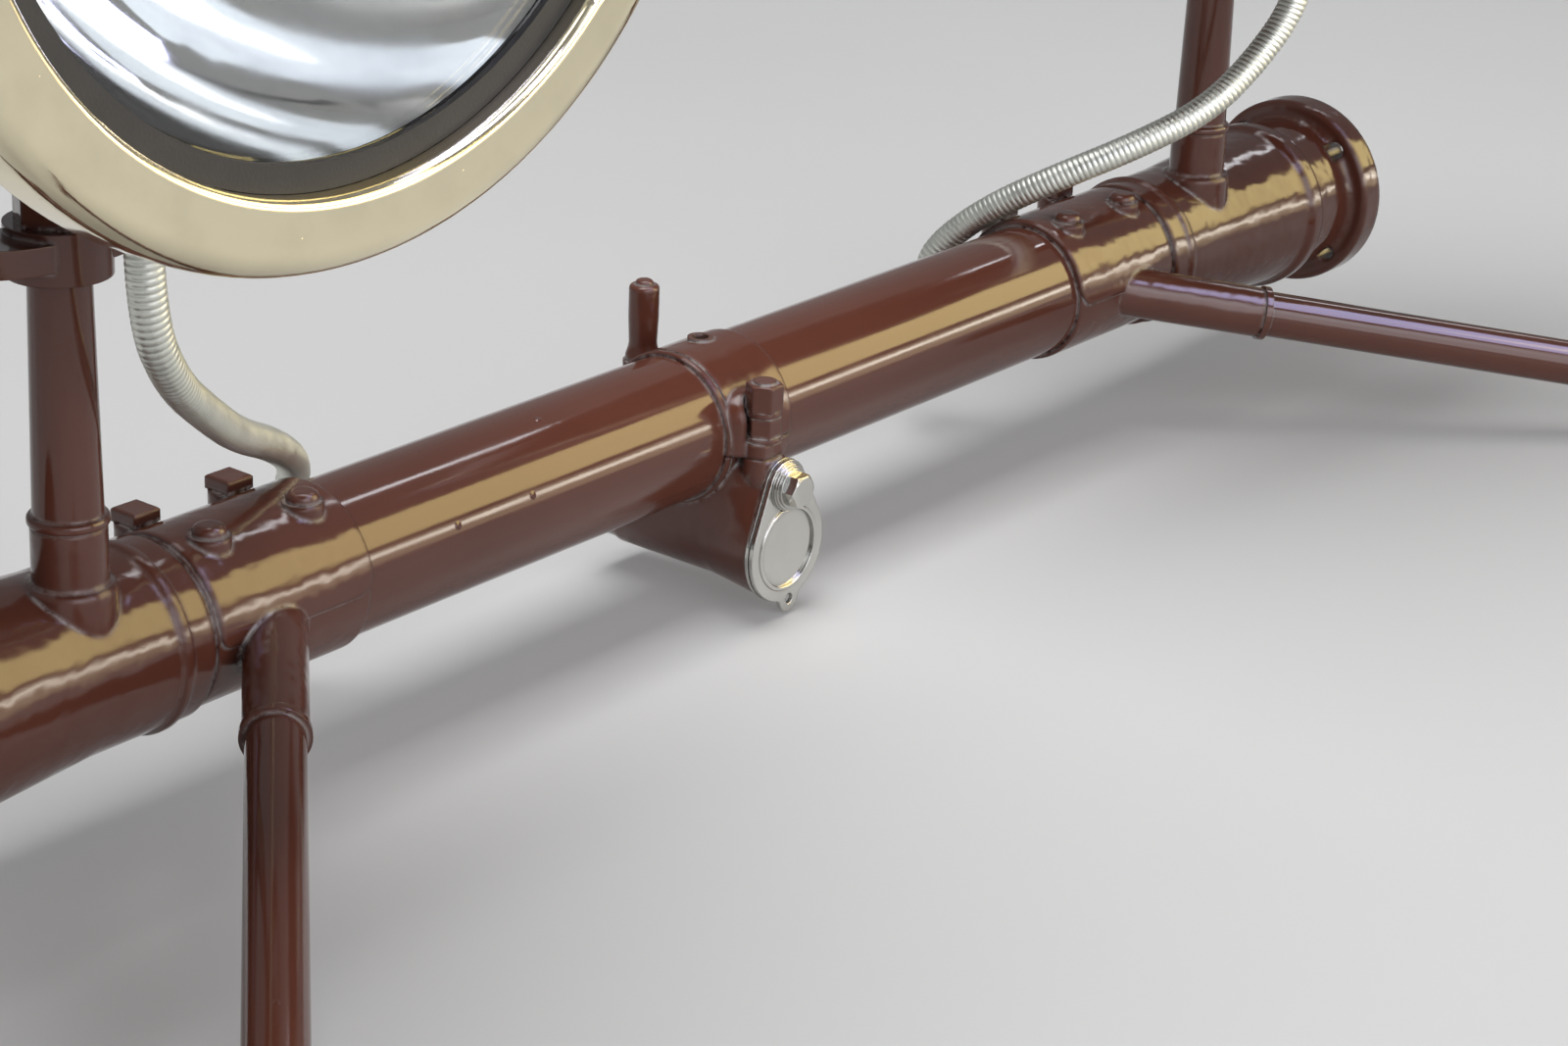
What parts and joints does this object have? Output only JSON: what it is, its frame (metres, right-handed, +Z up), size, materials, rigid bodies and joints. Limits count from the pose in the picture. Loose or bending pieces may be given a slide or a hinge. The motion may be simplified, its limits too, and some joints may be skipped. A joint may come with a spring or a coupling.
{
  "type": "vintage car front cross tube with headlamps",
  "caption": "Front chassis cross tube with a starting handle bearing and swinging cover, end fittings, braces, lamp posts, fork-mounted headlamps and flexible conduits.",
  "frame": {"origin": "centre of the left end flange's face, where the unit bolts to the inner web of the frame's offside member", "axes": "+X along the cross tube to the car's near side, +Y to the car's rear, +Z up"},
  "size_m": [0.9406, 0.3187, 0.4964],
  "materials": {
    "enamel": "gloss chocolate brown enamel",
    "enamel_cast": "gloss chocolate brown enamel over cast or forged metal",
    "bronze": "machined bronze",
    "plate": "bright nickel plate",
    "bolt_plate": "bright plated steel",
    "lamp_plate": "bright plated brass",
    "rubber": "black rubber",
    "glass": "clear lens glass",
    "reflector": "silvered",
    "bulb": "clear bulb glass",
    "conduit_metal": "dull plated flexible conduit"
  },
  "bodies": {
    "root": {"cross_tube": "enamel", "bearing_cap": "enamel_cast", "bearing_bracket": "enamel_cast", "cap_nut_front": "enamel_cast", "cap_stud_rear": "enamel_cast", "handle_bush": "bronze", "cover_back_plate": "plate", "cover_pivot_bolt": "bolt_plate", "end_fitting_left": "enamel_cast", "end_fitting_right": "enamel_cast", "sleeve_bolts_left": "enamel_cast", "sleeve_bolts_right": "enamel_cast", "lamp_post_left": "enamel", "lamp_post_right": "enamel", "brace_left": "enamel", "brace_right": "enamel", "lamp_shell_left": "enamel", "lamp_shell_right": "enamel", "lamp_rim_left": "lamp_plate", "lamp_rim_right": "lamp_plate", "lamp_gasket_left": "rubber", "lamp_gasket_right": "rubber", "lamp_glass_left": "glass", "lamp_glass_right": "glass", "lamp_reflector_left": "reflector", "lamp_reflector_right": "reflector", "lamp_bulb_left": "bulb", "lamp_bulb_right": "bulb", "lamp_fork_left": "enamel", "lamp_fork_right": "enamel", "fork_nut_left": "enamel_cast", "fork_nut_right": "enamel_cast", "trunnion_bolts_left": "bolt_plate", "trunnion_bolts_right": "bolt_plate", "lamp_outlet_left": "enamel_cast", "lamp_outlet_right": "enamel_cast", "conduit_elbow_left": "enamel_cast", "conduit_elbow_right": "enamel_cast", "conduit_left": "conduit_metal", "conduit_right": "conduit_metal"},
    "cover": {"handle_cover": "plate"}
  },
  "joints": [
    {"name": "cover_swing", "type": "hinge", "parent": "root", "child": "cover", "pos_m": [0.3951, -0.0398, -0.015], "axis": [0, -1, 0], "range_deg": [-80, 100]}
  ]
}
